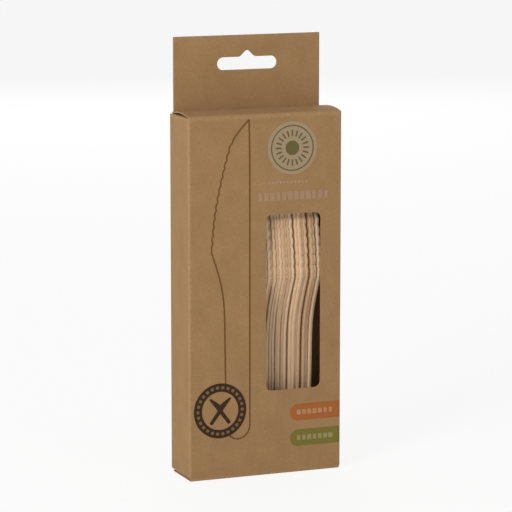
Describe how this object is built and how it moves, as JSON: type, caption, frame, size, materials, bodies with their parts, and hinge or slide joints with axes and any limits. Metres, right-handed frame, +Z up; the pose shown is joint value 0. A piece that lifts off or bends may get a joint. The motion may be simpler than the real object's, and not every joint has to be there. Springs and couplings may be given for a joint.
{
  "type": "wooden cutlery pack",
  "caption": "Kraft board carton with a hang tab and a window, filled with flat wooden knives that stand tips up; the tuck-in lid opens.",
  "frame": {"origin": "middle of the carton's underside, on the surface that it stands on", "axes": "+Z up along the knives, +Y from the windowed front to the back, +X to the right seen from the front"},
  "size_m": [0.076, 0.024, 0.2045],
  "materials": {
    "kraft_board": "matte",
    "birch_veneer": "satin"
  },
  "bodies": {
    "pack": {"carton": "kraft_board", "knife_01": "birch_veneer", "knife_02": "birch_veneer", "knife_03": "birch_veneer", "knife_04": "birch_veneer", "knife_05": "birch_veneer", "knife_06": "birch_veneer", "knife_07": "birch_veneer", "knife_08": "birch_veneer", "knife_09": "birch_veneer", "knife_10": "birch_veneer", "knife_11": "birch_veneer", "knife_12": "birch_veneer", "knife_13": "birch_veneer", "knife_14": "birch_veneer", "knife_15": "birch_veneer", "knife_16": "birch_veneer", "knife_17": "birch_veneer", "knife_18": "birch_veneer", "knife_19": "birch_veneer", "knife_20": "birch_veneer", "knife_21": "birch_veneer", "knife_22": "birch_veneer", "knife_23": "birch_veneer", "knife_24": "birch_veneer", "knife_25": "birch_veneer", "knife_26": "birch_veneer", "knife_27": "birch_veneer", "knife_28": "birch_veneer", "knife_29": "birch_veneer", "knife_30": "birch_veneer", "knife_31": "birch_veneer", "knife_32": "birch_veneer", "knife_33": "birch_veneer", "knife_34": "birch_veneer", "knife_35": "birch_veneer", "knife_36": "birch_veneer", "knife_37": "birch_veneer", "knife_38": "birch_veneer", "knife_39": "birch_veneer", "knife_40": "birch_veneer"},
    "lid": {"lid": "kraft_board"}
  },
  "joints": [
    {"name": "lid_hinge", "type": "hinge", "parent": "pack", "child": "lid", "pos_m": [0, 0.01035, 0.16975], "axis": [-1, 0, 0], "range_deg": [0, 80]}
  ]
}
